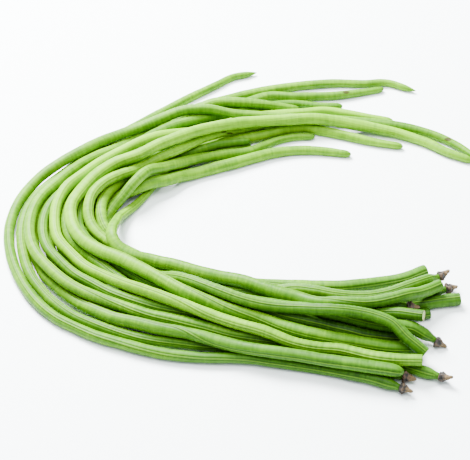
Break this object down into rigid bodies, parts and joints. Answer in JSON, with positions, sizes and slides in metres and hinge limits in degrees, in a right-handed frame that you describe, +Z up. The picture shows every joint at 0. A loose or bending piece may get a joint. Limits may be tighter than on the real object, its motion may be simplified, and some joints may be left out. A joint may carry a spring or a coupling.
{
  "type": "yardlong bean bunch",
  "caption": "Bunch of fresh yardlong beans folded once into a U and laid flat, with cut and stalked stem ends together and the tapering tips fanned out.",
  "frame": {"origin": "on the table, under the middle of the bunch's box", "axes": "+Z up from the table; +X from the bend towards the stem ends and tips; +Y from the stem branch towards the tip branch, away from the camera of the picture"},
  "size_m": [0.324, 0.3074, 0.0287],
  "materials": {
    "pod_deep_green": "satin skin",
    "pod_mid_green": "satin skin",
    "pod_pale_green": "satin skin",
    "dried_calyx": "dry, rough"
  },
  "bodies": {
    "root": {"pod_01": "pod_mid_green", "pod_02": "pod_mid_green", "pod_03": "pod_mid_green", "pod_04": "pod_pale_green", "pod_05": "pod_deep_green", "pod_06": "pod_pale_green", "pod_07": "pod_mid_green", "pod_08": "pod_pale_green", "pod_09": "pod_mid_green", "pod_10": "pod_mid_green", "pod_11": "pod_mid_green", "pod_12": "pod_pale_green", "pod_13": "pod_mid_green", "pod_14": "pod_deep_green", "pod_15": "pod_deep_green", "pod_16": "pod_deep_green", "pod_17": "pod_mid_green", "stalk_01": "dried_calyx", "stalk_02": "dried_calyx", "stalk_04": "dried_calyx", "stalk_10": "dried_calyx", "stalk_12": "dried_calyx", "stalk_14": "dried_calyx", "stalk_16": "dried_calyx"}
  },
  "joints": []
}
